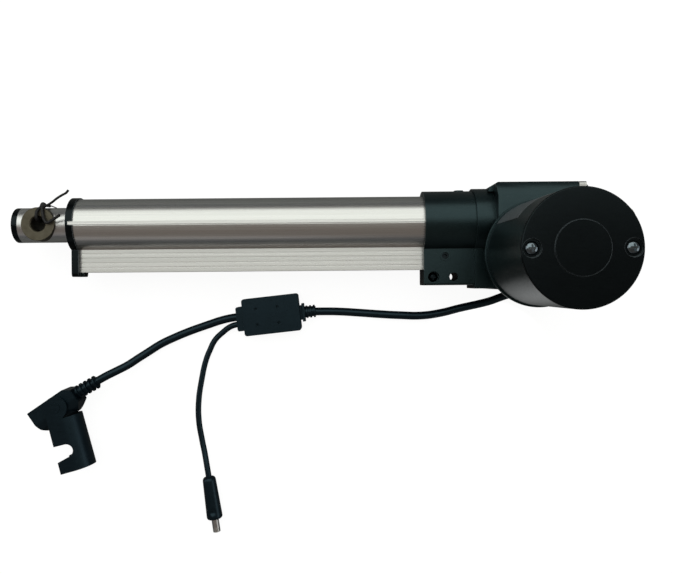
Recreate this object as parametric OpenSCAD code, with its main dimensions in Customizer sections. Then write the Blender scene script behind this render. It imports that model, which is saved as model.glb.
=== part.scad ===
// Linear actuator with a worm-geared motor across its end, for a recliner or lift chair.
// Origin: centre of the rear mounting bore, on the spindle's axis.
// +X points from the rod towards the rear bracket, +Z along the motor's axis towards its cap.

/* [Mounting] */
// Distance between the two mounting bores with the rod in
pin_span = 410; // [400:5:480]
// Travel of the rod
stroke = 200; // [120:10:200]
// Diameter of both mounting bores
pin_bore_d = 10.2; // [8:0.1:11]

/* [Rod] */
// Outer diameter of the rod tube
rod_d = 25; // [23:0.5:26]
// Wall of the rod tube
rod_wall = 3; // [2:0.5:3]
// Diameter of the cross bush at the rod's eye
eye_bush_d = 23.6; // [18:0.2:23.6]
// Length of the cross bush, a little more than the rod's diameter
eye_bush_len = 28.6; // [27:0.2:32]

/* [Profile] */
// Outer diameter of the round part of the aluminium profile
profile_d = 37; // [36:0.1:37.5]
// Bore of the profile
profile_bore_d = 32.2; // [32:0.1:33]
// Distance from the spindle's axis to the outer edge of the profile's box
tail_reach = 34.3; // [33:0.1:36]
// Height of the box's upper face above the spindle's axis
tail_top = 4; // [3:0.5:6]
// Depth of the box's lower face below the spindle's axis
tail_bottom = 10; // [9:0.5:11]

/* [Gearbox] */
// Length of the gearbox along the spindle
gearbox_len = 57; // [55:1:60]
// Half of the gearbox's height along the motor's axis
gearbox_half_h = 30; // [30:1:32]
// Teeth on the worm wheel
wheel_teeth = 28; // [28:1:28]
// Module of the worm and its wheel
gear_module = 1.25; // [1.25:0.05:1.25]
// Pitch diameter of the worm
worm_pitch_d = 13.6; // [13.6:0.2:13.6]

/* [Motor] */
// Diameter of the motor's shell at its base
shell_base_d = 70.2; // [68:0.2:71]
// Diameter of the motor's shell at its cap
shell_top_d = 69.2; // [66:0.2:70]
// Height of the cap's face above the spindle's axis
motor_top = 116; // [116:1:124]
// Distance of each cap screw from the motor's axis
cap_screw_offset = 28.5; // [27:0.5:28.5]

/* [Cords] */
// Diameter of the main cord and of the connector's cord
cord_d = 6; // [5:0.2:6]
// Diameter of the charging cord
dc_cord_d = 4.4; // [3.6:0.2:4.4]

/* [Hidden] */
$fn = 64;
eps = 0.01;

// Fits
running = 0.05;
seated = 0.05;
air = 0.4;

// Colours
black_plastic = [0.07, 0.09, 0.10];
black_cap = [0.04, 0.05, 0.05];
cord_black = [0.05, 0.06, 0.07];
plain_steel = [0.62, 0.62, 0.60];
aluminium = [0.78, 0.79, 0.79];
nylon = [0.88, 0.87, 0.82];
brass = [0.74, 0.60, 0.32];
copper = [0.72, 0.42, 0.24];

// Stations along the spindle
eye_x = -pin_span;
rod_tip_x = eye_x - 20;
rod_front_x = rod_tip_x + 4.5;
cap_front_x = eye_x + 21;
profile_front_x = cap_front_x + 1.8;
skirt_end_x = cap_front_x + 5;
profile_rear_x = -108;
clamp_front_x = -138.4;
clamp_rear_x = -103;
box_rear_x = -33;
box_front_x = box_rear_x - gearbox_len;
box_top = 25.8;
cover_t = 3;
cover_front_x = box_rear_x - cover_t;

// Rod
rod_r = rod_d / 2;
rod_bore_r = rod_r - rod_wall;
pin_r = pin_bore_d / 2;
nut_front_x = -152;
nut_rear_x = -120;

// Profile
profile_r = profile_d / 2;
bore_r = profile_bore_d / 2;
tail_wall = 1.8;
rib_w = 2.2;
rib_h = 0.8;

// Spindle
spindle_r = 6;
journal_r = 5.95;
spindle_front_x = -372;
spindle_rear_x = cover_front_x - 0.5;
rear_journal_x = cover_front_x - 9.5;
rear_journal_r = 4.95;

// Worm gear
wheel_pitch_r = gear_module * wheel_teeth / 2;
worm_pitch_r = worm_pitch_d / 2;
gear_pitch = PI * gear_module;
addendum = 1.1;
dedendum = 1.5;
motor_x = -63.6;
motor_y = -(wheel_pitch_r + worm_pitch_r);
worm_half_len = 13;
worm_segments = 24;
wheel_w = 9;

// Motor
base_top = gearbox_half_h + 3;
cap_bottom = motor_top - 3;
shaft_r = 4;
can_r = 27;
can_bottom = base_top + 1;
can_top = 98;

// Clamp and collar
clamp_r = 22;
clamp_flat = 10;
collar_r = 23.6;
clamp_screw_at = [-131.5, -39.6];
clamp_hole_at = [-117.3, -39.5];
set_screw_at = [-123.3, -24.5];

// Bracket
plate_t = 5;
ear_inner = 12;
ear_outer = 16;
lug_r = 9.5;
bracket_screw_y = [20.5, -39];
bracket_screw_z = 20.4;

// Limit switches
cam_x = nut_rear_x - 9;
cam_len = 8;
switch_x = [cam_x + cam_len / 2, cam_x + cam_len / 2 - stroke];
switch_len = 12.8;
plunger_r = 0.8;

// Floor that the actuator and its cords lie on
floor_z = -gearbox_half_h;
cord_r = cord_d / 2;
dc_cord_r = dc_cord_d / 2;
cord_z = floor_z + cord_r;
dc_cord_z = floor_z + dc_cord_r;

// Splitter box on the cord
splitter_at = [-249.1, -66.8];
splitter_turn = 6;
splitter_size = [42.7, 27.8, 13];

// Connector
pivot_at = [-406.7, -133.2];
connector_turn = 214;
clip_turn = 285;
connector_z = -18;
connector_half_t = 9.5;
clip_half_t = 12;
clip_wall = 2;
clip_back_y = 1.2;
clip_len = 48;
relief_at = [-395, -124];
relief_turn = 29;
relief_len = 18;

// Charging plug
plug_at = [-297.8, -189.9];
plug_turn = -82;
plug_z = -24;
plug_len = 31;
barrel_len = 10;
barrel_d = 5.5;

// Main cord, from the gearbox to the splitter box
main_route = [
    [-58, -52.2, -25], [-64, -52.4, -25.2], [-70, -53.4, -25.9], [-76, -55.4, -26.6],
    [-83.5, -58.1, cord_z], [-91, -60, cord_z], [-106, -63.2, cord_z],
    [-121.5, -66.9, cord_z], [-136, -68.7, cord_z], [-152, -68.3, cord_z],
    [-167, -67.4, cord_z], [-182.5, -66.2, cord_z], [-197, -65.2, cord_z],
    [-207, -64.9, -26.4], [-216, -64.9, -25.4], [-225, -65.3, -25.2]
];
// Connector's cord, from the splitter box to the connector
branch_route = [
    [-272, -68.2, -24.6], [-279, -69.1, -25.4], [-287, -70.8, -26.4],
    [-297, -74, cord_z], [-311.5, -79, cord_z], [-323, -83.6, cord_z],
    [-334.5, -89, cord_z], [-343, -94.3, -26.4], [-351, -99.4, -24.6],
    [-358, -104, -22.4], [-365, -107.6, -20.2], [-372, -111, -18.6],
    [-379, -114.8, connector_z], [-386, -118.7, connector_z]
];
// Charging cord, from the splitter box to the charging plug
dc_route = [
    [-271, -73.6, -25], [-276, -74.3, -25.6], [-281, -76, -26.6], [-287, -80.3, dc_cord_z],
    [-293, -86.2, dc_cord_z], [-296.8, -93.5, dc_cord_z], [-300, -101.5, dc_cord_z],
    [-303.4, -116.4, dc_cord_z], [-305.7, -131.6, dc_cord_z], [-305.8, -146.9, dc_cord_z],
    [-303.4, -162.1, -27.6], [-301.2, -172, -26.4], [-299.4, -181, -24.8],
    [-297.8, -189.9, plug_z], [-297.1, -194.2, plug_z]
];

// ---------- helpers ----------

// A flat outline drawn in (Y, Z), drawn out from x0 to x1
module along_x(x0, x1) {
    translate([x0, 0, 0]) rotate([90, 0, 90]) linear_extrude(x1 - x0) children();
}

// A round bar on the spindle's axis from x0 to x1
module bar_x(x0, x1, r) {
    translate([x0, 0, 0]) rotate([0, 90, 0]) cylinder(h = x1 - x0, r = r);
}

// A tube on the spindle's axis
module tube_x(x0, x1, r_out, r_in) {
    difference() {
        bar_x(x0, x1, r_out);
        bar_x(x0 - 1, x1 + 1, r_in);
    }
}

// A tube along Z
module tube_z(z0, z1, r_out, r_in) {
    translate([0, 0, z0]) difference() {
        cylinder(h = z1 - z0, r = r_out);
        translate([0, 0, -1]) cylinder(h = z1 - z0 + 2, r = r_in);
    }
}

// A rectangle between two corners with round corners
module round_rect(low, high, r) {
    size = high - low;
    translate(low + [r, 0]) square([size.x - 2 * r, size.y]);
    translate(low + [0, r]) square([size.x, size.y - 2 * r]);
    for (x = [low.x + r, high.x - r], y = [low.y + r, high.y - r])
        translate([x, y]) circle(r, $fn = 32);
}

// Cross recess of a screw's head, cut down from z
module cross_recess(z, size) {
    for (a = [0, 90])
        rotate(a) translate([-size / 2, -size / 8, z - 1.2]) cube([size, size / 4, 2.4]);
}

// Pan-head screw standing on z = 0, with its shank below
module pan_screw(head_r, head_h, shank_r, shank_len) {
    dome_r = (head_r * head_r + head_h * head_h) / (2 * head_h);
    difference() {
        intersection() {
            translate([0, 0, head_h - dome_r]) sphere(dome_r, $fn = 96);
            cylinder(h = head_h + 1, r = head_r);
        }
        cross_recess(head_h, head_r * 1.1);
    }
    translate([0, 0, -shank_len]) cylinder(h = shank_len, r = shank_r);
}

function unit(v) = v / norm(v);

// Direction of a route at point i
function heading(route, i) =
    unit(route[min(i + 1, len(route) - 1)] - route[max(i - 1, 0)]);

// Ring of points round a route's point
function ring(route, i, r, sides) =
    let (t = heading(route, i), side = unit(cross(t, [0, 0, 1])), up = cross(side, t))
    [for (k = [0 : sides - 1])
        let (a = 360 * (k + 0.5) / sides)
        route[i] + r * (cos(a) * side + sin(a) * up)];

// Round cord swept along a route
module cord(route, r, sides) {
    rings = len(route);
    points = [for (i = [0 : rings - 1]) each ring(route, i, r, sides)];
    walls = [for (i = [0 : rings - 2], k = [0 : sides - 1])
        let (next = (k + 1) % sides)
        [i * sides + k, i * sides + next, (i + 1) * sides + next, (i + 1) * sides + k]];
    first = [[for (k = [sides - 1 : -1 : 0]) k]];
    last = [[for (k = [0 : sides - 1]) (rings - 1) * sides + k]];
    polyhedron(points, concat(walls, first, last));
}

// Ribbed strain relief along +X, standing on its mouth at x = 0
module ribbed_relief(length, root_r, tip_r, rib_r, ribs) {
    rotate([0, 90, 0]) cylinder(h = length, r1 = root_r, r2 = tip_r);
    pitch = length / ribs;
    for (i = [0 : ribs - 1])
        translate([pitch * (i + 0.3), 0, 0]) rotate([0, 90, 0]) cylinder(h = pitch * 0.5, r = rib_r);
}

// ---------- profile and rod ----------

// Outer outline of the aluminium profile, grown by gap
module profile_outline(gap) {
    circle(profile_r + gap);
    translate([-tail_reach - gap, -tail_bottom - gap])
        square([tail_reach + gap, tail_bottom + tail_top + 2 * gap]);
    for (side = [-1, 1])
        translate([-rib_w / 2 - gap, side * (profile_r + rib_h / 2 - 0.5) - rib_h / 2 - 0.5 - gap])
            square([rib_w + 2 * gap, rib_h + 1 + 2 * gap]);
}

module outer_profile() {
    flute_pitch = 3.3;
    flute_depth = 0.14;
    groove_w = 0.7;
    color(aluminium) along_x(profile_front_x, profile_rear_x) difference() {
        profile_outline(0);
        circle(bore_r);
        translate([-tail_reach + tail_wall, -tail_bottom + tail_wall])
            square([tail_reach - tail_wall, tail_bottom + tail_top - 2 * tail_wall]);
        for (i = [0 : 3], z = [tail_top, -tail_bottom])
            translate([-21.5 - flute_pitch * i, z - flute_depth]) square([0.9, 2 * flute_depth]);
        // narrow groove beside the crown rib
        translate([-rib_w / 2 - groove_w, profile_r - 0.5]) square([groove_w, 2]);
    }
}

module profile_end_cap() {
    cap_r = profile_r + 1;
    notch_w = rib_w + 0.6;
    tongue_len = 2.6;
    low = [-37.4, -tail_bottom - 3];
    high = [-6, tail_top + 3];
    color(black_cap) {
        along_x(cap_front_x, profile_front_x) difference() {
            union() {
                circle(cap_r);
                round_rect(low, high, 2.5);
            }
            circle(15);
        }
        along_x(profile_front_x, skirt_end_x) difference() {
            union() {
                circle(cap_r);
                round_rect(low, high, 2.5);
            }
            profile_outline(seated);
            // notches over the profile's ribs
            for (z = [profile_r, -profile_r - 3]) translate([-notch_w / 2, z]) square([notch_w, 3]);
        }
        // tongue along the outer edge of the box
        translate([skirt_end_x - eps, low.x, -2])
            cube([tongue_len, -tail_reach - 0.1 - low.x, tail_top + 1]);
    }
}

module rod_guide_bush() {
    color(nylon) tube_x(profile_front_x + 0.1, profile_front_x + 24, bore_r - seated, rod_r + running);
}

module rod_wiper() {
    color(black_plastic) difference() {
        bar_x(cap_front_x + 0.4, profile_front_x, 15 - seated);
        bar_x(cap_front_x, profile_front_x + 1, rod_r + running);
        // groove in front of the lip
        tube_x(cap_front_x, cap_front_x + 1.2, 14.2, 13.4);
    }
}

module rod_tube() {
    color(aluminium) difference() {
        tube_x(rod_front_x, nut_rear_x - 10, rod_r, rod_bore_r);
        translate([eye_x, 0, -20]) cylinder(h = 40, r = eye_bush_d / 2);
    }
}

module rod_end_plug() {
    color(black_cap) {
        bar_x(rod_tip_x + 0.6, rod_front_x, rod_r);
        translate([rod_tip_x, 0, 0]) rotate([0, 90, 0]) cylinder(h = 0.6, r1 = rod_r - 0.6, r2 = rod_r);
        bar_x(rod_front_x, rod_front_x + 3, rod_bore_r - seated);
    }
}

module rod_eye_bush() {
    chamfer = 0.8;
    color([0.40, 0.38, 0.35]) translate([eye_x, 0, 0]) difference() {
        translate([0, 0, -eye_bush_len / 2]) cylinder(h = eye_bush_len, r = eye_bush_d / 2 - seated);
        translate([0, 0, -eye_bush_len]) cylinder(h = 2 * eye_bush_len, r = pin_r);
        for (side = [0, 1]) mirror([0, 0, side])
            translate([0, 0, eye_bush_len / 2 - chamfer])
                cylinder(h = chamfer + eps, r1 = pin_r, r2 = pin_r + chamfer);
    }
}

module drive_nut() {
    color(nylon) difference() {
        union() {
            // spigot inside the rod tube
            bar_x(nut_front_x, nut_rear_x - 5, rod_bore_r - seated);
            // flange that slides in the profile
            bar_x(nut_rear_x - 10 + 0.02, nut_rear_x, bore_r - 0.3);
        }
        bar_x(nut_front_x - 1, nut_rear_x + 1, spindle_r + running);
    }
}

// Key on the nut that keeps the rod from turning and trips the limit switches
module switch_cam() {
    cam_low = -tail_bottom + tail_wall + air;
    cam_high = tail_top - tail_wall - air;
    color(black_plastic) difference() {
        translate([cam_x, -24.4, cam_low]) cube([cam_len, 12.4, cam_high - cam_low]);
        bar_x(nut_rear_x - 12, nut_rear_x + 2, bore_r - 0.3 + 0.02);
    }
}

// ---------- clamp and gearbox ----------

module profile_clamp() {
    low = [-45.5, -14];
    high = [-4, clamp_flat];
    color(black_plastic) difference() {
        union() {
            along_x(clamp_front_x, clamp_rear_x - 0.02) {
                circle(clamp_r);
                round_rect(low, high, 1.5);
            }
            // shallow boss on the round side
            translate([-111.7, clamp_r - 4, 0]) rotate([-90, 0, 0]) cylinder(h = 4.5, r = 3.4);
            // raised rim round the set screw
            translate([set_screw_at.x, set_screw_at.y, 0]) cylinder(h = clamp_flat + 0.6, r = 3.6);
        }
        along_x(clamp_front_x - 1, profile_rear_x + 0.1) profile_outline(seated);
        bar_x(profile_rear_x - 1, clamp_rear_x + 1, 10);
        translate([set_screw_at.x, set_screw_at.y, tail_top]) cylinder(h = 10, r = 2.5);
        translate([clamp_screw_at.x, clamp_screw_at.y, clamp_flat - 4]) cylinder(h = 10, r = 4.1);
        translate([clamp_screw_at.x, clamp_screw_at.y, -9]) cylinder(h = 30, r = 2);
        translate([clamp_hole_at.x, clamp_hole_at.y, -20]) cylinder(h = 40, r = 3);
    }
}

module clamp_screw() {
    color([0.12, 0.12, 0.12]) translate([clamp_screw_at.x, clamp_screw_at.y, clamp_flat - 4])
        pan_screw(3.5, 2, 2 - seated, 14);
}

module clamp_set_screw() {
    color([0.15, 0.15, 0.16]) translate([set_screw_at.x, set_screw_at.y, tail_top + 0.1]) difference() {
        cylinder(h = 5.4, r = 2.5 - seated);
        translate([0, 0, 3]) cylinder(h = 5, r = 1.45, $fn = 6);
    }
}

// Outline of the gearbox across the spindle, drawn in (Y, Z)
module box_section(inset) {
    z = gearbox_half_h - inset;
    polygon([
        [-48.5 + inset, -z], [box_top - inset, -z], [box_top - inset, z - 8],
        [15.5 - inset * 0.7, z], [-48.5 + inset, z]
    ]);
}

module gearbox_housing() {
    wall = 5;
    post_w = 20;
    post_y = [bracket_screw_y[1] + 5 - post_w, bracket_screw_y[0] - 5];
    post_z = bracket_screw_z - 5.5;
    collar_low = [-48, -17];
    collar_high = [-4, 13];
    color(black_plastic) difference() {
        union() {
            intersection() {
                along_x(box_front_x, cover_front_x) box_section(0);
                // the front corner beside the collar is cut back
                translate([0, 0, -gearbox_half_h]) linear_extrude(2 * gearbox_half_h) polygon([
                    [box_front_x, -60], [0, -60], [0, 40], [box_front_x + 20, 40],
                    [box_front_x, collar_r + 0.9]
                ]);
            }
            along_x(clamp_rear_x, box_front_x + 1) {
                circle(collar_r);
                round_rect(collar_low, collar_high, 1.5);
            }
            // web between the collar and the gearbox's front
            translate([box_front_x, 0, -14]) linear_extrude(30)
                polygon([[-3.5, 20], [-3.5, 22.1], [0.4, 24.7], [1, 24.7], [1, 20]]);
        }
        // room for the worm and its wheel, with solid corners for the bracket's screws
        difference() {
            along_x(box_front_x + 6, cover_front_x + 1) box_section(wall);
            for (y = post_y, side = [0, 1]) mirror([0, 0, side])
                translate([box_front_x, y, post_z]) cube([gearbox_len + 10, post_w, post_w]);
            // seat of the worm's lower bearing
            translate([motor_x, motor_y, -gearbox_half_h]) tube_z(0, 10, 10.5, 8 + seated);
        }
        // front bearing's seat and the spindle's way through
        bar_x(clamp_rear_x - 1, clamp_rear_x + 10.6, 16);
        bar_x(clamp_rear_x, box_front_x + 8, 9);
        // worm shaft's way up to the motor
        translate([motor_x, motor_y, 20]) cylinder(h = 20, r = 9.6);
        for (y = bracket_screw_y, z = [-bracket_screw_z, bracket_screw_z])
            translate([cover_front_x - 16, y, z]) rotate([0, 90, 0]) cylinder(h = 30, r = 2.5);
    }
}

module gearbox_cover() {
    color(black_plastic) difference() {
        union() {
            along_x(cover_front_x + 0.02, box_rear_x - 0.02) box_section(0);
            tube_x(cover_front_x - 9.4, cover_front_x + 1, 17.6, 15);
        }
        for (y = bracket_screw_y, z = [-bracket_screw_z, bracket_screw_z])
            translate([cover_front_x - 1, y, z]) rotate([0, 90, 0]) cylinder(h = 10, r = 2.6);
    }
}

module rear_bracket() {
    bush_seat_r = 6.6;
    color(plain_steel) difference() {
        union() {
            along_x(box_rear_x, box_rear_x + plate_t)
                round_rect([-45, -25], [25.6, 24.8], 2);
            for (side = [0, 1]) mirror([0, 0, side])
                translate([0, 0, ear_inner]) linear_extrude(ear_outer - ear_inner) {
                    circle(lug_r);
                    polygon([
                        [box_rear_x + 1, -22], [-22, -22], [0, -lug_r], [0, lug_r],
                        [-18, 19], [box_rear_x + 1, 19]
                    ]);
                }
        }
        translate([0, 0, -20]) cylinder(h = 40, r = bush_seat_r);
        for (y = bracket_screw_y, z = [-bracket_screw_z, bracket_screw_z])
            translate([box_rear_x - 1, y, z]) rotate([0, 90, 0]) cylinder(h = 10, r = 2.6);
    }
}

module bracket_screws() {
    color([0.10, 0.10, 0.11])
        for (y = bracket_screw_y, z = [-bracket_screw_z, bracket_screw_z])
            translate([box_rear_x + plate_t, y, z]) rotate([0, 90, 0])
                pan_screw(4, 2.8, 2.5 - seated, 20);
}

module rear_bushes() {
    color([0.25, 0.25, 0.25])
        for (side = [0, 1]) mirror([0, 0, side]) difference() {
            union() {
                translate([0, 0, ear_inner]) cylinder(h = ear_outer - ear_inner, r = 6.6 - seated);
                translate([0, 0, ear_outer]) cylinder(h = 1, r = 8.2);
            }
            translate([0, 0, ear_inner - 1]) cylinder(h = 10, r = pin_r);
        }
}

// ---------- spindle ----------

module spindle() {
    color(plain_steel) {
        bar_x(spindle_front_x, clamp_rear_x - 2, spindle_r);
        bar_x(clamp_rear_x - 2, rear_journal_x, journal_r);
        bar_x(rear_journal_x, spindle_rear_x, rear_journal_r);
    }
}

module spindle_tip_guide() {
    color(nylon) tube_x(spindle_front_x, spindle_front_x + 9, rod_bore_r - 0.35, spindle_r);
}

module spindle_locknut() {
    color([0.3, 0.3, 0.32]) difference() {
        translate([motor_x + 5.9, 0, 0]) rotate([0, 90, 0]) cylinder(h = 6, r = 10, $fn = 6);
        bar_x(motor_x, motor_x + 20, journal_r);
    }
}

module spindle_front_bearing() {
    color(plain_steel) difference() {
        tube_x(clamp_rear_x + 0.3, clamp_rear_x + 10.3, 16 - seated, 6);
        tube_x(clamp_rear_x - 1, clamp_rear_x + 1, 13.2, 9.2);
    }
}

module spindle_rear_bearing() {
    color(plain_steel) difference() {
        tube_x(cover_front_x - 9, cover_front_x - 0.2, 15 - seated, 5);
        tube_x(cover_front_x - 10, cover_front_x - 8.2, 12.4, 8.2);
    }
}

// Worm wheel with straight teeth, narrow enough to run with the worm's lead
module worm_wheel() {
    root_r = wheel_pitch_r - dedendum;
    tip_r = wheel_pitch_r + addendum;
    root_half = 0.95;
    tip_half = 0.35;
    color(nylon) difference() {
        translate([motor_x, 0, 0]) {
            along_x(-wheel_w / 2, wheel_w / 2) {
                circle(root_r);
                // a tooth stands at the worm's side, at -Y
                for (i = [0 : wheel_teeth - 1]) rotate(360 * i / wheel_teeth)
                    polygon([
                        [-root_r + 0.4, -root_half], [-root_r, -root_half], [-tip_r, -tip_half],
                        [-tip_r, tip_half], [-root_r, root_half], [-root_r + 0.4, root_half]
                    ]);
            }
            bar_x(wheel_w / 2 - eps, wheel_w / 2 + 1.2, 10);
        }
        bar_x(motor_x - 20, motor_x + 20, journal_r);
    }
}

// ---------- motor ----------

module at_motor() translate([motor_x, motor_y, 0]) children();

// Worm: a right-handed thread whose gap faces the wheel's tooth
module worm() {
    root_r = worm_pitch_r - addendum - 0.5;
    tip_r = worm_pitch_r + addendum;
    root_half = 0.95;
    tip_half = 0.35;
    steps = round((2 * worm_half_len / gear_pitch - 1) * worm_segments);
    section = [[root_r, -root_half], [tip_r, -tip_half], [tip_r, tip_half], [root_r, root_half]];
    points = [for (i = [0 : steps])
        let (a = 360 * (i - steps / 2) / worm_segments, z = gear_pitch * (a + 90) / 360)
        for (p = section) [p.x * cos(a), p.x * sin(a), z + p.y]];
    walls = [for (i = [0 : steps - 1], k = [0 : 3])
        let (next = (k + 1) % 4)
        [i * 4 + next, (i + 1) * 4 + next, (i + 1) * 4 + k, i * 4 + k]];
    last = [for (k = [0 : 3]) steps * 4 + k];
    color([0.55, 0.55, 0.55]) at_motor() {
        polyhedron(points, concat(walls, [[3, 2, 1, 0], last]));
        tube_z(-worm_half_len, worm_half_len, root_r * cos(180 / worm_segments) - eps, 3.4);
    }
}

module motor_shaft() {
    shaft_low = -gearbox_half_h + 5.4;
    color(plain_steel) at_motor() {
        translate([0, 0, shaft_low]) cylinder(h = -shaft_low - worm_half_len - 0.4, r = shaft_r);
        translate([0, 0, -20]) cylinder(h = 40, r = 3.4);
        translate([0, 0, worm_half_len + 0.4]) cylinder(h = 103 - worm_half_len - 0.4, r = shaft_r);
    }
}

module motor_base() {
    base_r = shell_base_d / 2 + 1.4;
    color(black_plastic) at_motor() difference() {
        translate([0, 0, gearbox_half_h + 0.02]) cylinder(h = base_top - gearbox_half_h - 0.04, r = base_r);
        translate([0, 0, gearbox_half_h - 1]) cylinder(h = 10, r = 9);
    }
}

module motor_shell() {
    wall = 2.4;
    color(black_plastic) at_motor() {
        difference() {
            translate([0, 0, base_top])
                cylinder(h = cap_bottom - base_top, r1 = shell_base_d / 2, r2 = shell_top_d / 2, $fn = 128);
            translate([0, 0, base_top - 1])
                cylinder(h = cap_bottom - base_top + 2, r = shell_top_d / 2 - wall, $fn = 128);
        }
        // posts under the cap's screws
        for (side = [-1, 1]) difference() {
            intersection() {
                union() {
                    translate([side * cap_screw_offset, 0, can_top + 1.5])
                        cylinder(h = cap_bottom - can_top - 1.5, r = 4.5);
                    translate([side * (cap_screw_offset + 2) - 2, -4.5, can_top + 1.5])
                        cube([4, 9, cap_bottom - can_top - 1.5]);
                }
                cylinder(h = motor_top, r = shell_top_d / 2 - wall + 0.5);
            }
            translate([side * cap_screw_offset, 0, can_top]) cylinder(h = 30, r = 2);
        }
    }
}

module motor_end_cap() {
    top_edge = 0.5;
    rim_top = motor_top - 0.5;
    cap_r = shell_top_d / 2;
    color(black_cap) at_motor() difference() {
        union() {
            translate([0, 0, cap_bottom + 0.02])
                cylinder(h = rim_top - top_edge - cap_bottom - 0.02, r = cap_r, $fn = 128);
            translate([0, 0, rim_top - top_edge])
                cylinder(h = top_edge, r1 = cap_r, r2 = cap_r - top_edge, $fn = 128);
            // raised round field in the middle
            translate([0, 0, rim_top - 1]) cylinder(h = motor_top - rim_top + 1, r = 16);
        }
        for (side = [-1, 1]) translate([side * cap_screw_offset, 0, 0]) {
            translate([0, 0, motor_top - 1.8]) cylinder(h = 5, r = 5.3);
            cylinder(h = motor_top + 1, r = 2.1);
        }
    }
}

module motor_cap_screws() {
    color([0.14, 0.15, 0.17]) at_motor()
        for (side = [-1, 1]) translate([side * cap_screw_offset, 0, motor_top - 1.8])
            pan_screw(4, 1.9, 2 - seated, 12);
}

// Radius of the tapering shell at a height
function shell_r(z) =
    (shell_base_d + (shell_top_d - shell_base_d) * (z - base_top) / (cap_bottom - base_top)) / 2;

// Blank label wrapped on the shell's side
module rating_label() {
    low_z = 36;
    high_z = 86;
    label_start = 89;
    label_arc = 57;
    label_t = 0.2;
    color([0.36, 0.38, 0.39]) at_motor()
        rotate(label_start) rotate_extrude(angle = label_arc, $fn = 128)
            polygon([
                [shell_r(low_z) - eps, low_z], [shell_r(low_z) + label_t, low_z],
                [shell_r(high_z) + label_t, high_z], [shell_r(high_z) - eps, high_z]
            ]);
}

module motor_can() {
    color([0.5, 0.5, 0.5]) at_motor() difference() {
        union() {
            translate([0, 0, can_bottom]) cylinder(h = can_top - can_bottom, r = can_r);
            translate([0, 0, can_top - eps]) cylinder(h = 5.4, r = 9.6);
        }
        translate([0, 0, can_bottom + 1.5]) cylinder(h = can_top - can_bottom - 3, r = can_r - 1.5);
        translate([0, 0, can_bottom - 1]) cylinder(h = 10, r = 7);
        translate([0, 0, can_top - 3]) cylinder(h = 20, r = 8);
    }
}

module motor_magnets() {
    color([0.20, 0.20, 0.22]) at_motor()
        for (turn = [25, 205]) rotate(turn) translate([0, 0, 42])
            rotate_extrude(angle = 130) translate([20.8, 0]) square([can_r - 1.5 - 0.1 - 20.8, 40]);
}

module motor_bearings() {
    color(plain_steel) at_motor() {
        tube_z(-gearbox_half_h + 5.1, -gearbox_half_h + 9.9, 8, shaft_r + running);
        tube_z(can_top + 0.1, can_top + 5.1, 8 - seated, shaft_r + running);
    }
}

module brush_holder() {
    color([0.45, 0.30, 0.16]) at_motor() difference() {
        tube_z(86.8, 96, can_r - 1.5 - 0.1, 12);
        translate([-30, -3.1, 87.9]) cube([60, 6.2, 6.2]);
    }
}

module brushes() {
    color([0.16, 0.16, 0.16]) at_motor()
        for (side = [0, 180]) rotate(side) translate([8.4, -3, 88]) cube([9, 6, 6]);
}

module armature_core() {
    slots = 12;
    color([0.42, 0.42, 0.44]) at_motor() difference() {
        tube_z(44, 80, 20, shaft_r);
        for (i = [0 : slots - 1]) rotate(360 * i / slots) translate([12, -1, 40]) cube([10, 2, 50]);
    }
}

module armature_windings() {
    color(copper) at_motor()
        for (z = [38.6, 80.1]) translate([0, 0, z]) rotate_extrude() {
            translate([9, 0]) square([8, 5.3]);
            translate([17, 2.65]) circle(2.65, $fn = 32);
        }
}

module commutator() {
    color(copper) at_motor() tube_z(86.4, 95.4, 8, shaft_r);
}

// ---------- limit switches ----------

module limit_board() {
    y = -tail_reach + tail_wall;
    color([0.10, 0.30, 0.16])
        translate([switch_x[1] - 6, y + 0.2, -tail_bottom + tail_wall + 0.3])
            cube([switch_x[0] - switch_x[1] + 12, 1.2, tail_bottom + tail_top - 2 * tail_wall - 0.6]);
}

module limit_switches() {
    y = -tail_reach + tail_wall + 1.45;
    color([0.12, 0.12, 0.13]) for (x = switch_x) difference() {
        translate([x - switch_len / 2, y, -6]) cube([switch_len, 5.2, 6]);
        translate([x, y + 1.6, -3]) rotate([-90, 0, 0]) cylinder(h = 10, r = plunger_r + running);
    }
}

module switch_plunger(x) {
    y = -tail_reach + tail_wall + 1.45;
    color([0.75, 0.15, 0.12]) translate([x, y + 2.4, -3]) rotate([-90, 0, 0]) cylinder(h = 3.6, r = plunger_r);
}

module rear_switch_plunger() switch_plunger(switch_x[0]);
module front_switch_plunger() switch_plunger(switch_x[1]);

// ---------- cords and what is on them ----------

module cable_gland() {
    color(black_plastic) {
        translate([-57, -55.5, -29]) cube([13, 6.98, 8]);
        translate([-57, -52.2, -25]) rotate([0, -90, 0]) cylinder(h = 10, r1 = 3.6, r2 = 3.2);
    }
}

module main_cord() color(cord_black) cord(main_route, cord_r, 10);
module branch_cord() color(cord_black) cord(branch_route, cord_r, 10);
module dc_cord() color(cord_black) cord(dc_route, dc_cord_r, 8);

module at_splitter() translate([splitter_at.x, splitter_at.y, floor_z]) rotate(splitter_turn) children();

module splitter_box() {
    half = [splitter_size.x / 2, splitter_size.y / 2];
    color(cord_black) at_splitter() difference() {
        union() {
            linear_extrude(splitter_size.z) round_rect(-half, half, 2);
            // collar that the two thinner cords leave by
            translate([0, 0, 1]) linear_extrude(splitter_size.z - 2)
                round_rect([-half.x - 5, -9.7], [-half.x + 4, 8.5], 1.5);
        }
        for (x = [-10.9, 5.1], y = [-6.2, 5.6])
            translate([x, y, splitter_size.z - 2.5]) cylinder(h = 4, r = 1.1);
    }
}

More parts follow.
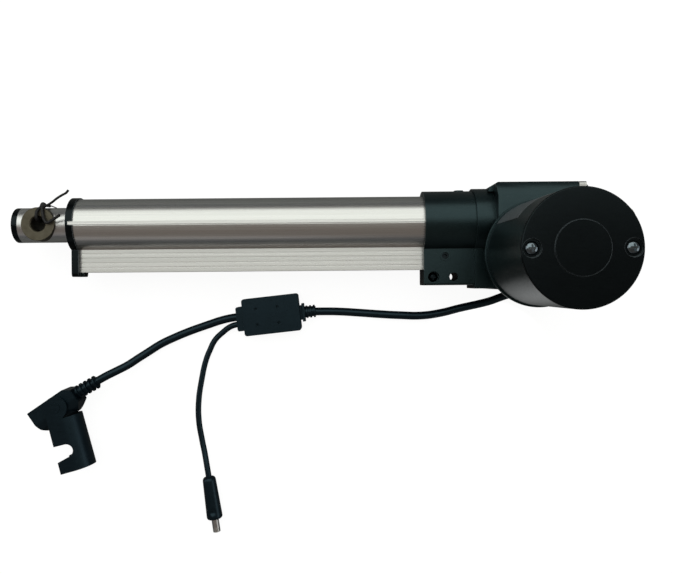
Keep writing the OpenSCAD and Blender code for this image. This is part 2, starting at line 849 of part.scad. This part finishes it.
module splitter_strain_relief() {
    neck = 1.6;
    flange = 2;
    color(cord_black) at_splitter() translate([splitter_size.x / 2 + 0.02, -1, 4.8]) {
        translate([0, -5.4, -3.8]) cube([neck + 1, 10.8, 9]);
        translate([neck, -6.8, -4.6]) cube([flange, 13.6, 10.8]);
        translate([neck + flange - eps, 0, 0]) ribbed_relief(8.4, 4.3, 3.7, 4.75, 3);
    }
}

module connector_strain_relief() {
    color(cord_black) translate([relief_at.x, relief_at.y, connector_z]) rotate(relief_turn)
        ribbed_relief(relief_len, 4.2, 3.5, 5.2, 5);
}

module at_connector() translate([pivot_at.x, pivot_at.y, connector_z]) rotate(connector_turn) children();

// Contacts' places in the connector's mouth
contact_y = [-3.2, 4.8];
mouth_x = 20.5;

module connector_body() {
    rear_x = -15.7;
    flat_y = -8.5;
    round_y = clip_back_y;
    top_y = round_y + connector_half_t + 0.1;
    color(cord_black) at_connector() difference() {
        union() {
            intersection() {
                union() {
                    translate([rear_x, flat_y, -connector_half_t])
                        cube([mouth_x - rear_x, round_y - flat_y, 2 * connector_half_t]);
                    translate([rear_x, round_y, 0]) rotate([0, 90, 0])
                        cylinder(h = mouth_x - rear_x, r = connector_half_t);
                }
                // corners are cut back, seen along the pivot
                translate([0, 0, -20]) linear_extrude(40) polygon([
                    [mouth_x, flat_y], [mouth_x, 2], [19.5, 7], [16.8, top_y], [-9.5, top_y],
                    [rear_x, 5.5], [rear_x + 0.6, -5.2], [-10, flat_y]
                ]);
            }
            // pivot pins of the clip
            translate([0, 0, -clip_half_t]) cylinder(h = 2 * clip_half_t + 0.3, r = 3.45);
        }
        for (y = contact_y) translate([mouth_x - 12, y, 0]) rotate([0, 90, 0]) cylinder(h = 20, r = 1.9);
    }
}

module connector_contacts() {
    color(brass) at_connector() for (y = contact_y)
        translate([mouth_x - 11.9, y, 0]) rotate([0, 90, 0]) difference() {
            cylinder(h = 11, r = 1.9 - seated);
            translate([0, 0, 1]) cylinder(h = 20, r = 1.1);
        }
}

// Hinged retaining clip: two flat ears joined by a round back, with a hook notch
module connector_clip() {
    ear_r = 8.4;
    back_start = 8.5;
    back_join = back_start + 1;
    side_low = -9;
    notch_at = [32.2, -0.6];
    notch_r = 4.8;
    inner = clip_half_t - clip_wall;
    // where the notch's slanting side touches its round end
    slant = 13.6;
    touch = notch_at + notch_r * [cos(slant), sin(slant)];
    color(cord_black) translate([pivot_at.x, pivot_at.y, connector_z]) rotate(clip_turn) difference() {
        union() {
            // flat sides
            for (z = [-clip_half_t, inner]) translate([0, 0, z]) linear_extrude(clip_wall) {
                circle(ear_r);
                polygon([
                    [0, -ear_r], [clip_len, side_low], [clip_len, clip_back_y],
                    [back_join, clip_back_y], [back_join, clip_back_y + 1.6], [0, ear_r]
                ]);
            }
            // round back
            translate([back_start, clip_back_y, 0]) rotate([0, 90, 0]) intersection() {
                tube_z(0, clip_len - back_start, clip_half_t, inner);
                translate([-20, 0, -1]) cube([40, 20, 80]);
            }
        }
        // hook notch through both sides
        translate([notch_at.x, notch_at.y, -20]) cylinder(h = 40, r = notch_r);
        translate([0, 0, -20]) linear_extrude(40) polygon([
            notch_at - [notch_r, 0], [notch_at.x - notch_r - 0.3, -12],
            [touch.x + tan(slant) * (touch.y + 12), -12], touch
        ]);
        translate([0, 0, -20]) cylinder(h = 40, r = 3.5);
    }
}

module dc_plug_body() {
    color(cord_black) translate([plug_at.x, plug_at.y, plug_z]) rotate(plug_turn) difference() {
        rotate([0, 90, 0]) cylinder(h = plug_len, r1 = 4.9, r2 = 6);
        translate([plug_len - 6, 0, 5.2]) cylinder(h = 3, r = 2);
    }
}

module dc_plug_barrel() {
    color([0.55, 0.53, 0.50]) translate([plug_at.x, plug_at.y, plug_z]) rotate(plug_turn)
        translate([plug_len + 0.02, 0, 0]) rotate([0, 90, 0]) difference() {
            cylinder(h = barrel_len, r = barrel_d / 2);
            translate([0, 0, 1]) cylinder(h = barrel_len, r = 1.25);
        }
}

// ---------- nodes ----------

outer_profile();
profile_end_cap();
rod_guide_bush();
rod_wiper();
rod_tube();
rod_end_plug();
rod_eye_bush();
drive_nut();
switch_cam();
profile_clamp();
clamp_screw();
clamp_set_screw();
gearbox_housing();
gearbox_cover();
rear_bracket();
bracket_screws();
rear_bushes();
spindle();
spindle_tip_guide();
worm_wheel();
spindle_locknut();
spindle_front_bearing();
spindle_rear_bearing();
motor_base();
motor_shell();
motor_end_cap();
motor_cap_screws();
rating_label();
motor_can();
motor_magnets();
motor_bearings();
brush_holder();
brushes();
motor_shaft();
worm();
armature_core();
armature_windings();
commutator();
limit_board();
limit_switches();
rear_switch_plunger();
front_switch_plunger();
cable_gland();
main_cord();
splitter_box();
splitter_strain_relief();
branch_cord();
connector_strain_relief();
connector_body();
connector_contacts();
connector_clip();
dc_cord();
dc_plug_body();
dc_plug_barrel();
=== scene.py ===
"""Looks of a linear actuator with a worm-geared motor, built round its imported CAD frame."""
import math

import bmesh
import bpy
from mathutils import Matrix, Vector


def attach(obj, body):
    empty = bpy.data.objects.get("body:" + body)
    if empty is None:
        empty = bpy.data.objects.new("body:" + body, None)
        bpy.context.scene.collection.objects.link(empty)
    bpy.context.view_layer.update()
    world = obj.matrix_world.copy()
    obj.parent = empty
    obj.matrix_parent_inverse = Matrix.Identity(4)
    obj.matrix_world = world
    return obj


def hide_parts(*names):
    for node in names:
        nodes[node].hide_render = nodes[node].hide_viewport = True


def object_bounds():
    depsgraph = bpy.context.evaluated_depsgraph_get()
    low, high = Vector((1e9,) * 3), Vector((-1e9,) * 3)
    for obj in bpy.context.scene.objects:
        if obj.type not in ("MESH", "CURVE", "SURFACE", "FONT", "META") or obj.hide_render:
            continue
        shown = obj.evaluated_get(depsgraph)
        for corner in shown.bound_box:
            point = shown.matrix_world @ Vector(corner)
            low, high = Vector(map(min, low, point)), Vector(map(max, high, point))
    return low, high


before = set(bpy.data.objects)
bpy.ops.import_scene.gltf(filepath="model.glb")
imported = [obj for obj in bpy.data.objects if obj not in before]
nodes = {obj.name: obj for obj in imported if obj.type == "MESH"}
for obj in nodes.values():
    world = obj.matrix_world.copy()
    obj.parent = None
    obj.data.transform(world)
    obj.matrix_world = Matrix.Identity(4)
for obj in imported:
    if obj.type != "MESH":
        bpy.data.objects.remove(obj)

cad_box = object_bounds()
MM = 0.001


# ---------- camera ----------

camera_data = bpy.data.cameras.new("camera")
camera_data.sensor_width = 36
camera_data.lens = 37.4
camera_data.shift_x = 0.0097
camera_data.shift_y = -0.0104
camera_data.clip_start = 0.01
camera = bpy.data.objects.new("camera", camera_data)
camera.location = (-0.205, -0.0411, 0.505)
camera.rotation_euler = (0, 0, math.radians(-0.48))
bpy.context.scene.collection.objects.link(camera)
bpy.context.scene.camera = camera


# ---------- materials ----------

class Surface:
    """A procedural material: a Principled shader and the nodes that feed it, in object coordinates."""

    def __init__(self, name, metallic=0.0, specular=0.5, tint=(1, 1, 1)):
        self.material = bpy.data.materials.new(name)
        self.material.use_nodes = True
        self.tree = self.material.node_tree
        self.shader = self.tree.nodes["Principled BSDF"]
        self.shader.inputs["Metallic"].default_value = metallic
        self.shader.inputs["Specular IOR Level"].default_value = specular
        self.shader.inputs["Specular Tint"].default_value = (*tint, 1)
        self.place = self.tree.nodes.new("ShaderNodeTexCoord").outputs["Object"]
        self.last_bump = None

    def node(self, kind, **inputs):
        """A new shader node; an input named From_Min here sets the socket "From Min"."""
        made = self.tree.nodes.new(kind)
        for socket, value in inputs.items():
            self.put(made.inputs[socket.replace("_", " ")], value)
        return made

    def put(self, socket, value):
        """Links value to the socket if it is a socket itself, or else sets it."""
        if isinstance(value, bpy.types.NodeSocket):
            self.tree.links.new(value, socket)
        else:
            socket.default_value = value

    def stretched(self, stretch):
        return self.node("ShaderNodeMapping", Vector=self.place, Scale=stretch).outputs["Vector"]

    def noise(self, size, detail=3.0, stretch=(1, 1, 1), rough=0.55):
        """Cloudy noise with features of about size millimetres."""
        made = self.node("ShaderNodeTexNoise", Vector=self.stretched(stretch), Scale=1 / (size * MM),
                         Detail=detail, Roughness=rough)
        return made.outputs["Fac"]

    def pits(self, size):
        """Distance to the nearest of scattered points, for pores and pits."""
        made = self.node("ShaderNodeTexVoronoi", Vector=self.place, Scale=1 / (size * MM))
        return made.outputs["Distance"]

    def ramp(self, value, stops):
        """Colours that follow value; stops are (position, colour) pairs."""
        made = self.node("ShaderNodeValToRGB", Fac=value)
        elements = made.color_ramp.elements
        for i, (position, colour) in enumerate(stops):
            element = elements[i] if i < 2 else elements.new(position)
            element.position = position
            element.color = (*colour, 1)
        return made.outputs["Color"]

    def spread(self, value, low, high, start=0.3, end=0.7):
        """value from start to end becomes low to high."""
        made = self.node("ShaderNodeMapRange", Value=value, From_Min=start, From_Max=end,
                         To_Min=low, To_Max=high)
        return made.outputs["Result"]

    def colour(self, value):
        self.put(self.shader.inputs["Base Color"], value)
        return self

    def painted_edge_highlight(self, inner, highlight_colour, width=0.45):
        """The colour inner turns to the lighter colour given, a painted highlight, within about width
        millimetres of an edge.
        """
        bend = self.node("ShaderNodeVectorMath")
        bend.operation = "DOT_PRODUCT"
        self.put(bend.inputs[0], self.node("ShaderNodeBevel", Radius=width * MM).outputs["Normal"])
        self.put(bend.inputs[1], self.node("ShaderNodeNewGeometry").outputs["Normal"])
        mask = self.spread(bend.outputs["Value"], 1, 0, start=0.88, end=0.99)
        mix = self.node("ShaderNodeMixRGB", Fac=mask, Color1=inner, Color2=(*highlight_colour, 1))
        return mix.outputs["Color"]

    def rough(self, value):
        self.put(self.shader.inputs["Roughness"], value)
        return self

    def bump(self, height, depth, strength=1.0):
        """Adds relief of depth millimetres on top of what is there already."""
        made = self.node("ShaderNodeBump", Height=height, Strength=strength, Distance=depth * MM)
        if self.last_bump:
            self.tree.links.new(self.last_bump, made.inputs["Normal"])
        self.last_bump = made.outputs["Normal"]
        self.put(self.shader.inputs["Normal"], self.last_bump)
        return self


def moulded(name, dark, light, rough_low, rough_high, grain=0.35, depth=0.012, edge=None, **shader):
    """Moulded plastic: clouded colour, spark-eroded grain, faint scuffs, and edges lightened to the colour
    edge as a painted highlight.
    """
    s = Surface(name, **shader)
    clouds = s.noise(22, 2)
    grain_noise = s.noise(grain, 2)
    scuffs = s.noise(0.9, 4, stretch=(0.12, 1, 1), rough=0.7)
    clouded = s.ramp(clouds, [(0.3, dark), (0.62, light), (0.75, dark)])
    # the lighter edge colour is a painted highlight along every rounded edge
    s.colour(s.painted_edge_highlight(clouded, edge) if edge else clouded)
    s.rough(s.spread(scuffs, rough_low, rough_high))
    s.bump(grain_noise, depth, 0.55)
    s.bump(clouds, 0.12, 0.15)
    return s.material


def drawn_metal(name, dark, light, rough_low, rough_high, along, line=0.5, depth=0.004, **shader):
    """Metal with fine lines along one direction, as drawn, extruded or ground stock has."""
    s = Surface(name, metallic=1.0, **shader)
    lines = s.noise(line, 3, stretch=along, rough=0.6)
    broad = s.noise(9, 2, stretch=along)
    s.colour(s.ramp(broad, [(0.3, dark), (0.7, light)]))
    s.rough(s.spread(lines, rough_low, rough_high))
    s.bump(lines, depth, 0.5)
    return s.material


def pitted_metal(name, dark, light, rough_low, rough_high, pore=0.5, depth=0.02, metallic=1.0):
    """Cast, plated or sintered metal with small pits and a clouded colour."""
    s = Surface(name, metallic=metallic)
    clouds = s.noise(6, 4)
    pores = s.pits(pore)
    s.colour(s.ramp(clouds, [(0.32, dark), (0.68, light)]))
    s.rough(s.spread(clouds, rough_low, rough_high))
    s.bump(pores, depth, 0.35)
    return s.material


def wound_copper(name):
    """Enamelled wire lying in turns round the shaft."""
    s = Surface(name, metallic=1.0)
    turns = s.noise(0.7, 1, stretch=(1, 1, 3))
    s.colour(s.ramp(turns, [(0.35, (0.32, 0.11, 0.05)), (0.65, (0.72, 0.33, 0.17))]))
    s.rough(s.spread(turns, 0.45, 0.25))
    s.bump(turns, 0.2, 0.6)
    return s.material


def circuit_board(name):
    """Green lacquer with paler tracks under it."""
    lacquer = (0.01, 0.07, 0.025)
    track = (0.03, 0.16, 0.06)
    s = Surface(name, specular=0.6)
    tracks = s.noise(3, 1, stretch=(0.25, 1, 1))
    s.colour(s.ramp(tracks, [(0.46, lacquer), (0.5, track), (0.54, lacquer)]))
    s.rough(s.spread(tracks, 0.3, 0.45))
    s.bump(tracks, 0.03, 0.5)
    return s.material


def blank_label(name):
    """Grey foil with a faint grain across it and no print."""
    s = Surface(name, specular=0.5)
    fibres = s.noise(0.8, 3, stretch=(1, 1, 0.2))
    s.colour(s.ramp(fibres, [(0.3, (0.075, 0.09, 0.10)), (0.7, (0.13, 0.146, 0.157))]))
    s.rough(s.spread(fibres, 0.32, 0.46))
    s.bump(fibres, 0.01, 0.4)
    return s.material


ALONG_X = (0.004, 1, 1)
TEAL = (0.60, 0.92, 1.0)
NAVY = (0.50, 0.82, 1.0)
PALE_BLUE = (0.7, 0.92, 1.0)
materials = {
    "aluminium_profile": drawn_metal(
        "aluminium_profile", (0.60, 0.60, 0.585), (0.78, 0.78, 0.765), 0.24, 0.34, ALONG_X,
        line=0.6, depth=0.002),
    "aluminium_rod": drawn_metal(
        "aluminium_rod", (0.66, 0.66, 0.66), (0.82, 0.82, 0.81), 0.28, 0.40, ALONG_X,
        line=0.35, depth=0.001),
    # edge colour: a painted highlight along the rounded edges
    "black_plastic": moulded(
        "black_plastic", (0.0022, 0.0050, 0.0056), (0.0048, 0.0096, 0.0104), 0.26, 0.38,
        specular=0.5, tint=TEAL, edge=(0.02, 0.032, 0.035)),
    # edge colour: a painted highlight, the pale rim lines round the caps and their recesses
    "black_cap": moulded(
        "black_cap", (0.0006, 0.0010, 0.0013), (0.0012, 0.0018, 0.0022), 0.20, 0.25, grain=0.5, depth=0.005,
        specular=0.2, tint=PALE_BLUE, edge=(0.14, 0.165, 0.18)),
    "cord_black": moulded(
        "cord_black", (0.0012, 0.0034, 0.0060), (0.0024, 0.0060, 0.0095), 0.26, 0.40, grain=0.5, depth=0.008,
        specular=0.42, tint=NAVY),
    "sintered_bush": pitted_metal(
        "sintered_bush", (0.085, 0.075, 0.054), (0.15, 0.137, 0.103), 0.42, 0.6, pore=0.45, depth=0.03),
    "plain_steel": pitted_metal(
        "plain_steel", (0.45, 0.45, 0.44), (0.66, 0.66, 0.64), 0.26, 0.42, pore=0.8, depth=0.008),
    "black_screw": pitted_metal(
        "black_screw", (0.12, 0.15, 0.17), (0.24, 0.29, 0.32), 0.08, 0.15, pore=0.6, depth=0.005),
    # a darker copy of black_screw: painted shade for screws deep in their holes
    "shaded_sunk_screw": pitted_metal(
        "shaded_sunk_screw", (0.008, 0.012, 0.014), (0.020, 0.027, 0.031), 0.20, 0.32, pore=0.6, depth=0.008),
    "white_nylon": moulded("white_nylon", (0.66, 0.64, 0.58), (0.78, 0.77, 0.72), 0.36, 0.5),
    "grey_label": blank_label("grey_label"),
    "magnet": pitted_metal("magnet", (0.03, 0.03, 0.032), (0.07, 0.07, 0.075), 0.6, 0.8, metallic=0.0),
    "copper": wound_copper("copper"),
    "brass": drawn_metal("brass", (0.55, 0.38, 0.12), (0.78, 0.58, 0.24), 0.2, 0.34, (1, 1, 1)),
    "carbon": pitted_metal("carbon", (0.015, 0.015, 0.016), (0.04, 0.04, 0.042), 0.5, 0.7, metallic=0.0),
    "board": circuit_board("board"),
    "switch_red": moulded("switch_red", (0.42, 0.02, 0.015), (0.58, 0.04, 0.03), 0.3, 0.45),
    "phenolic": moulded("phenolic", (0.13, 0.05, 0.018), (0.24, 0.10, 0.04), 0.4, 0.6, grain=0.8),
    "rubber_seal": moulded(
        "rubber_seal", (0.0025, 0.0025, 0.003), (0.006, 0.006, 0.007), 0.5, 0.7, grain=0.25),
}


# ---------- helpers for new pieces ----------

def dress(piece, body, slot, *stands_for):
    """The piece rides on a body, takes a finish and stands for the CAD nodes named."""
    bpy.context.scene.collection.objects.link(piece)
    piece.data.materials.append(materials[slot])
    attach(piece, body)
    if stands_for:
        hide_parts(*stands_for)
    return piece


def cord_line(name, route, diameter, ring_detail=5):
    """A round line through a route given in millimetres, as one smooth open curve."""
    curve = bpy.data.curves.new(name, "CURVE")
    curve.dimensions = "3D"
    spline = curve.splines.new("BEZIER")
    spline.bezier_points.add(len(route) - 1)
    for point, place in zip(spline.bezier_points, route):
        point.co = Vector(place) * MM
        point.handle_left_type = "AUTO"
        point.handle_right_type = "AUTO"
    curve.bevel_depth = diameter * MM / 2
    curve.bevel_resolution = ring_detail
    curve.resolution_u = 6
    curve.use_fill_caps = True
    return bpy.data.objects.new(name, curve)


def finished_mesh(name, bm, sharp=32):
    """A mesh object from bm, smooth but for edges sharper than that many degrees."""
    bmesh.ops.recalc_face_normals(bm, faces=bm.faces)
    mesh = bpy.data.meshes.new(name)
    bm.to_mesh(mesh)
    bm.free()
    mesh.polygons.foreach_set("use_smooth", [True] * len(mesh.polygons))
    mesh.set_sharp_from_angle(angle=math.radians(sharp))
    return bpy.data.objects.new(name, mesh)


def turned(name, profile, place, segments=48, sharp=32):
    """A closed solid turned about place's X axis from (along, radius) pairs in millimetres."""
    bm = bmesh.new()
    rings = []
    for along, radius in profile:
        if radius == 0:
            rings.append([bm.verts.new(place @ Vector((along * MM, 0, 0)))])
            continue
        ring = []
        for k in range(segments):
            a = 2 * math.pi * k / segments
            point = Vector((along, radius * math.cos(a), radius * math.sin(a))) * MM
            ring.append(bm.verts.new(place @ point))
        rings.append(ring)
    for one, other in zip(rings, rings[1:]):
        for k in range(segments):
            corners = [one[k % len(one)], one[(k + 1) % len(one)],
                       other[(k + 1) % len(other)], other[k % len(other)]]
            bm.faces.new(list(dict.fromkeys(corners)))
    return finished_mesh(name, bm, sharp)


def placed(x, y, z, turn):
    """The frame at a point in millimetres, turned about Z by that many degrees."""
    return Matrix.Translation(Vector((x, y, z)) * MM) @ Matrix.Rotation(math.radians(turn), 4, "Z")


# ---------- cords ----------

CORD_D = 6
DC_CORD_D = 4.4
floor_z = round(cad_box[0].z / MM, 3)
cord_z = floor_z + CORD_D / 2
dc_cord_z = floor_z + DC_CORD_D / 2

MAIN_ROUTE = [
    (-58, -52.2, -25), (-64, -52.4, -25.2), (-70, -53.4, -25.9), (-76, -55.4, -26.6),
    (-83.5, -58.1, cord_z), (-91, -60, cord_z), (-106, -63.2, cord_z),
    (-121.5, -66.9, cord_z), (-136, -68.7, cord_z), (-152, -68.3, cord_z),
    (-167, -67.4, cord_z), (-182.5, -66.2, cord_z), (-197, -65.2, cord_z),
    (-207, -64.9, -26.4), (-216, -64.9, -25.4), (-225, -65.3, -25.2),
]
BRANCH_ROUTE = [
    (-272, -68.2, -24.6), (-279, -69.1, -25.4), (-287, -70.8, -26.4),
    (-297, -74, cord_z), (-311.5, -79, cord_z), (-323, -83.6, cord_z),
    (-334.5, -89, cord_z), (-343, -94.3, -26.4), (-351, -99.4, -24.6),
    (-358, -104, -22.4), (-365, -107.6, -20.2), (-372, -111, -18.6),
    (-379, -114.8, -18), (-386, -118.7, -18),
]
DC_ROUTE = [
    (-271, -73.6, -25), (-276, -74.3, -25.6), (-281, -76, -26.6), (-287, -80.3, dc_cord_z),
    (-293, -86.2, dc_cord_z), (-296.8, -93.5, dc_cord_z), (-300, -101.5, dc_cord_z),
    (-303.4, -116.4, dc_cord_z), (-305.7, -131.6, dc_cord_z), (-305.8, -146.9, dc_cord_z),
    (-303.4, -162.1, -27.6), (-301.2, -172, -26.4), (-299.4, -181, -24.8),
    (-297.8, -189.9, -24), (-297.1, -194.2, -24),
]

main_cord = dress(
    cord_line("main_cord_line", MAIN_ROUTE, CORD_D), "housing", "cord_black", "main_cord")
branch_cord = dress(
    cord_line("branch_cord_line", BRANCH_ROUTE, CORD_D), "housing", "cord_black", "branch_cord")
dc_cord = dress(
    cord_line("dc_cord_line", DC_ROUTE, DC_CORD_D), "housing", "cord_black", "dc_cord")


# ---------- what is on the cords ----------

def ribs(length, root, tip, rib, count):
    """Profile of a relief with rounded ribs, its core tapering from radius root to tip."""
    pitch = length / count
    points = []
    for i in range(count):
        x = pitch * i
        core = root + (tip - root) * (i + 0.5) / count
        points += [(x, core), (x + 0.24 * pitch, core), (x + 0.30 * pitch, rib - 0.35),
                   (x + 0.38 * pitch, rib), (x + 0.66 * pitch, rib), (x + 0.74 * pitch, rib - 0.35),
                   (x + 0.80 * pitch, core), (x + 0.97 * pitch, core)]
    return points


RELIEF_LEN = 18
relief_profile = [
    (0, 0),
    *ribs(RELIEF_LEN, root=4.2, tip=3.5, rib=5.2, count=5),
    (RELIEF_LEN, 3.3),
    (RELIEF_LEN, 0),
]
relief_place = placed(-395, -124, -18, 29)
connector_relief = dress(
    turned("connector_relief_ribbed", relief_profile, relief_place),
    "housing", "cord_black", "connector_strain_relief")

PLUG_LEN = 31
plug_profile = [
    (-0.8, 0), (-0.8, 2.6), (-0.6, 3.7), (0, 4.4), (0.9, 4.8),
    *[(x, 4.9 + 1.1 * x / PLUG_LEN) for x in range(2, PLUG_LEN - 1)],
    (PLUG_LEN - 1.2, 5.85), (PLUG_LEN - 0.5, 5.5), (PLUG_LEN, 4.8), (PLUG_LEN, 0),
]
plug_place = placed(*DC_ROUTE[-2], -82)
plug_body = dress(
    turned("dc_plug_moulding", plug_profile, plug_place, segments=64),
    "housing", "cord_black", "dc_plug_body")

# a finger dimple on top, near the barrel
DIMPLE_R = 2.4
DIMPLE_DEPTH = 0.9
dimple_at = plug_place @ (Vector((PLUG_LEN - 6, 0, 5.8)) * MM)
for vertex in plug_body.data.vertices:
    nearness = 1 - (vertex.co - dimple_at).length / (DIMPLE_R * MM)
    vertex.co.z -= DIMPLE_DEPTH * MM * min(1, max(0, 2 * nearness))


# ---------- tie on the rod's eye ----------

# each strand's thickness and its way through the eye or out of the knot
TIE_STRANDS = {
    "tie_loop": (2.2, [
        (-410.5, 3.2, -6), (-410.6, 2.8, 4), (-410.3, 2.6, 11), (-410.1, 3.6, 15.3), (-410.0, 6.0, 16.2),
        (-409.6, 9.0, 15.6), (-407.8, 12.0, 12.6), (-406.5, 13.6, 7), (-406.2, 13.8, 2),
    ]),
    "tie_short_end": (2.1, [
        (-406.8, 13.0, 13.6), (-406.2, 10.2, 15.2), (-405.4, 6.0, 16.0), (-404.2, 2.2, 16.2),
        (-402.6, 0.7, 16.4), (-399.5, 1.9, 16.8), (-393.2, 5.8, 17.4),
    ]),
    "tie_long_end": (1.7, [
        (-406.0, 12.6, 13.8), (-403.6, 12.8, 14.4), (-399.6, 15.0, 14.6), (-396.0, 17.8, 14.6),
        (-392.0, 20.2, 14.8), (-389.3, 21.6, 15.0), (-387.8, 23.4, 15.2),
    ]),
    "tie_thin_end": (0.8, [
        (-405.0, 12.8, 14.0), (-402.0, 12.9, 14.3), (-399.4, 12.2, 14.4), (-396.4, 11.0, 14.2),
    ]),
}
for strand, (width, route) in TIE_STRANDS.items():
    dress(cord_line(strand, route, width, ring_detail=3), "rod", "rubber_seal")

knot_profile = [
    (-2.6, 0), (-2.6, 0.9), (-2.1, 1.6), (-1.0, 2.0), (0.8, 2.1), (2.0, 1.7), (2.6, 0.9), (2.6, 0),
]
knot_place = placed(-406.3, 12.6, 13.6, 68)
dress(turned("tie_knot", knot_profile, knot_place, segments=24), "rod", "rubber_seal")


# ---------- CAD nodes: rounded edges and finishes ----------

# radius in millimetres that a node's sharp edges are rounded to
ROUNDING = {
    "outer_profile": 0.25, "profile_end_cap": 0.5, "rod_end_plug": 0.3, "rod_eye_bush": 0.2,
    "profile_clamp": 0.6, "clamp_screw": 0.15, "clamp_set_screw": 0.15,
    "gearbox_housing": 0.8, "gearbox_cover": 0.5, "rear_bracket": 0.35, "bracket_screws": 0.2,
    "rear_bushes": 0.25, "motor_base": 0.4, "motor_end_cap": 0.3, "motor_cap_screws": 0.18,
    "cable_gland": 0.5, "splitter_box": 1.1, "splitter_strain_relief": 0.3,
    "connector_body": 0.8, "connector_clip": 0.5, "dc_plug_barrel": 0.2,
}


def rounded(piece, width, segments=3):
    """Rounds the node's sharp edges with modifiers, which leave its mesh as it is."""
    weld = piece.modifiers.new("weld", "WELD")
    weld.merge_threshold = 1e-6
    merge = piece.modifiers.new("merge_flats", "DECIMATE")
    merge.decimate_type = "DISSOLVE"
    merge.angle_limit = math.radians(0.4)
    bevel = piece.modifiers.new("round_edges", "BEVEL")
    bevel.width = width * MM
    bevel.segments = segments
    bevel.limit_method = "ANGLE"
    bevel.angle_limit = math.radians(40)
    bevel.use_clamp_overlap = True
    bevel.harden_normals = False
    smooth = piece.modifiers.new("even_shading", "WEIGHTED_NORMAL")
    smooth.keep_sharp = False
    smooth.weight = 60


# the clamp's screws lie deep in their holes and get a darker copy of the screw finish: painted shade for the
# shadow in the holes
SUNK_SCREWS = ("clamp_screw", "clamp_set_screw")
for name, node in nodes.items():
    for slot in node.material_slots:
        finish = slot.material.name.split(".")[0]
        slot.material = materials["shaded_sunk_screw" if name in SUNK_SCREWS else finish]
    if name in ROUNDING:
        rounded(node, ROUNDING[name])


# ---------- floor and light ----------

FLOOR_HALF = 4
FLOOR_GAP = 0.0002
# how bright the paper looks to the camera, over its own grey
PAPER_GLOW = 0.93
# a bright round patch, seen only as the sheen on the motor's side
PATCH_AT = (-0.08889, -0.11111)
PATCH_R = 1 / 18

floor_bm = bmesh.new()
bmesh.ops.create_grid(floor_bm, x_segments=8, y_segments=8, size=FLOOR_HALF)
floor_bm.transform(Matrix.Translation((-0.2, 0, cad_box[0].z - FLOOR_GAP)))
floor = finished_mesh("floor", floor_bm)
paper = Surface("floor_paper", specular=0.2)
paper_noise = paper.noise(60, 2)
paper.colour(paper.ramp(paper_noise, [(0.3, (0.165, 0.17, 0.17)), (0.7, (0.185, 0.19, 0.19))]))
paper.rough(paper.spread(paper_noise, 0.75, 0.85))
paper.shader.inputs["Emission Color"].default_value = (1, 1, 1, 1)
by_motor = paper.node(
    "ShaderNodeMapping", Vector=paper.place, Scale=(1 / PATCH_R, 1 / PATCH_R, 0),
    Location=(-PATCH_AT[0] / PATCH_R, -PATCH_AT[1] / PATCH_R, 0))
patch = paper.node("ShaderNodeTexGradient", Vector=by_motor.outputs["Vector"])
patch.gradient_type = "SPHERICAL"
glow = paper.node("ShaderNodeMath", Value=PAPER_GLOW)
glow.operation = "MULTIPLY_ADD"
paper.tree.links.new(paper.node("ShaderNodeLightPath").outputs["Is Camera Ray"], glow.inputs[1])
paper.tree.links.new(patch.outputs["Fac"], glow.inputs[2])
paper.put(paper.shader.inputs["Emission Strength"], glow.outputs["Value"])
floor.data.materials.append(paper.material)
bpy.context.scene.collection.objects.link(floor)


def softbox(name, place, aim, size, watts, colour=(1, 1, 1)):
    """A rectangular lamp at place, turned to aim, size in metres."""
    light = bpy.data.lights.new(name, "AREA")
    light.shape = "RECTANGLE"
    light.size, light.size_y = size
    light.energy = watts
    light.color = colour
    lamp = bpy.data.objects.new(name, light)
    lamp.location = place
    lamp.rotation_mode = "QUATERNION"
    lamp.rotation_quaternion = (Vector(aim) - Vector(place)).to_track_quat("-Z", "Y")
    bpy.context.scene.collection.objects.link(lamp)


KEY_COLOUR = (0.95, 1.0, 0.955)
softbox("key_softbox", (-0.875, 1.52, 1.5), (-0.875, 1.52, 0.0), (2.25, 3.0), 25.2, KEY_COLOUR)
softbox("key_softbox_right", (0.925, 1.61, 1.5), (0.925, 1.61, 0.0), (1.35, 2.82), 14.2, KEY_COLOUR)
softbox("fill_softbox", (-0.9, -1.9, 0.8), (-0.2, 0.0, 0.0), (1.6, 0.5), 0.4)
softbox("left_softbox", (-2.4, 0.4, 0.9), (-0.2, 0.0, 0.0), (1.6, 1.2), 6)
softbox("right_softbox", (2.0, -0.4, 0.9), (-0.2, 0.0, 0.0), (1.6, 1.2), 6)

ROOM_STRENGTH = 0.17
ROOM_LOW = (0.30, 0.36, 0.42, 1)
ROOM_HIGH = (1.0, 0.86, 0.76, 1)
BACKDROP = (0.93, 0.94, 0.95, 1)


def surroundings():
    """A dim room, cool below and warm above, with a plain pale backdrop for the camera."""
    world = bpy.data.worlds.new("studio")
    bpy.context.scene.world = world
    world.use_nodes = True
    tree = world.node_tree
    link = tree.links.new

    shade = tree.nodes.new("ShaderNodeValToRGB")
    shade.color_ramp.elements[0].color = ROOM_LOW
    shade.color_ramp.elements[1].color = ROOM_HIGH
    shade.color_ramp.elements[1].position = 0.55
    height = tree.nodes.new("ShaderNodeSeparateXYZ")
    link(tree.nodes.new("ShaderNodeTexCoord").outputs["Generated"], height.inputs["Vector"])
    link(height.outputs["Z"], shade.inputs["Fac"])
    room = tree.nodes["Background"]
    room.inputs["Strength"].default_value = ROOM_STRENGTH
    link(shade.outputs["Color"], room.inputs["Color"])

    backdrop = tree.nodes.new("ShaderNodeBackground")
    backdrop.inputs["Color"].default_value = BACKDROP
    chosen = tree.nodes.new("ShaderNodeMixShader")
    link(tree.nodes.new("ShaderNodeLightPath").outputs["Is Camera Ray"], chosen.inputs["Fac"])
    link(room.outputs["Background"], chosen.inputs[1])
    link(backdrop.outputs["Background"], chosen.inputs[2])
    link(chosen.outputs["Shader"], tree.nodes["World Output"].inputs["Surface"])


surroundings()

bpy.context.scene.view_settings.view_transform = "Standard"
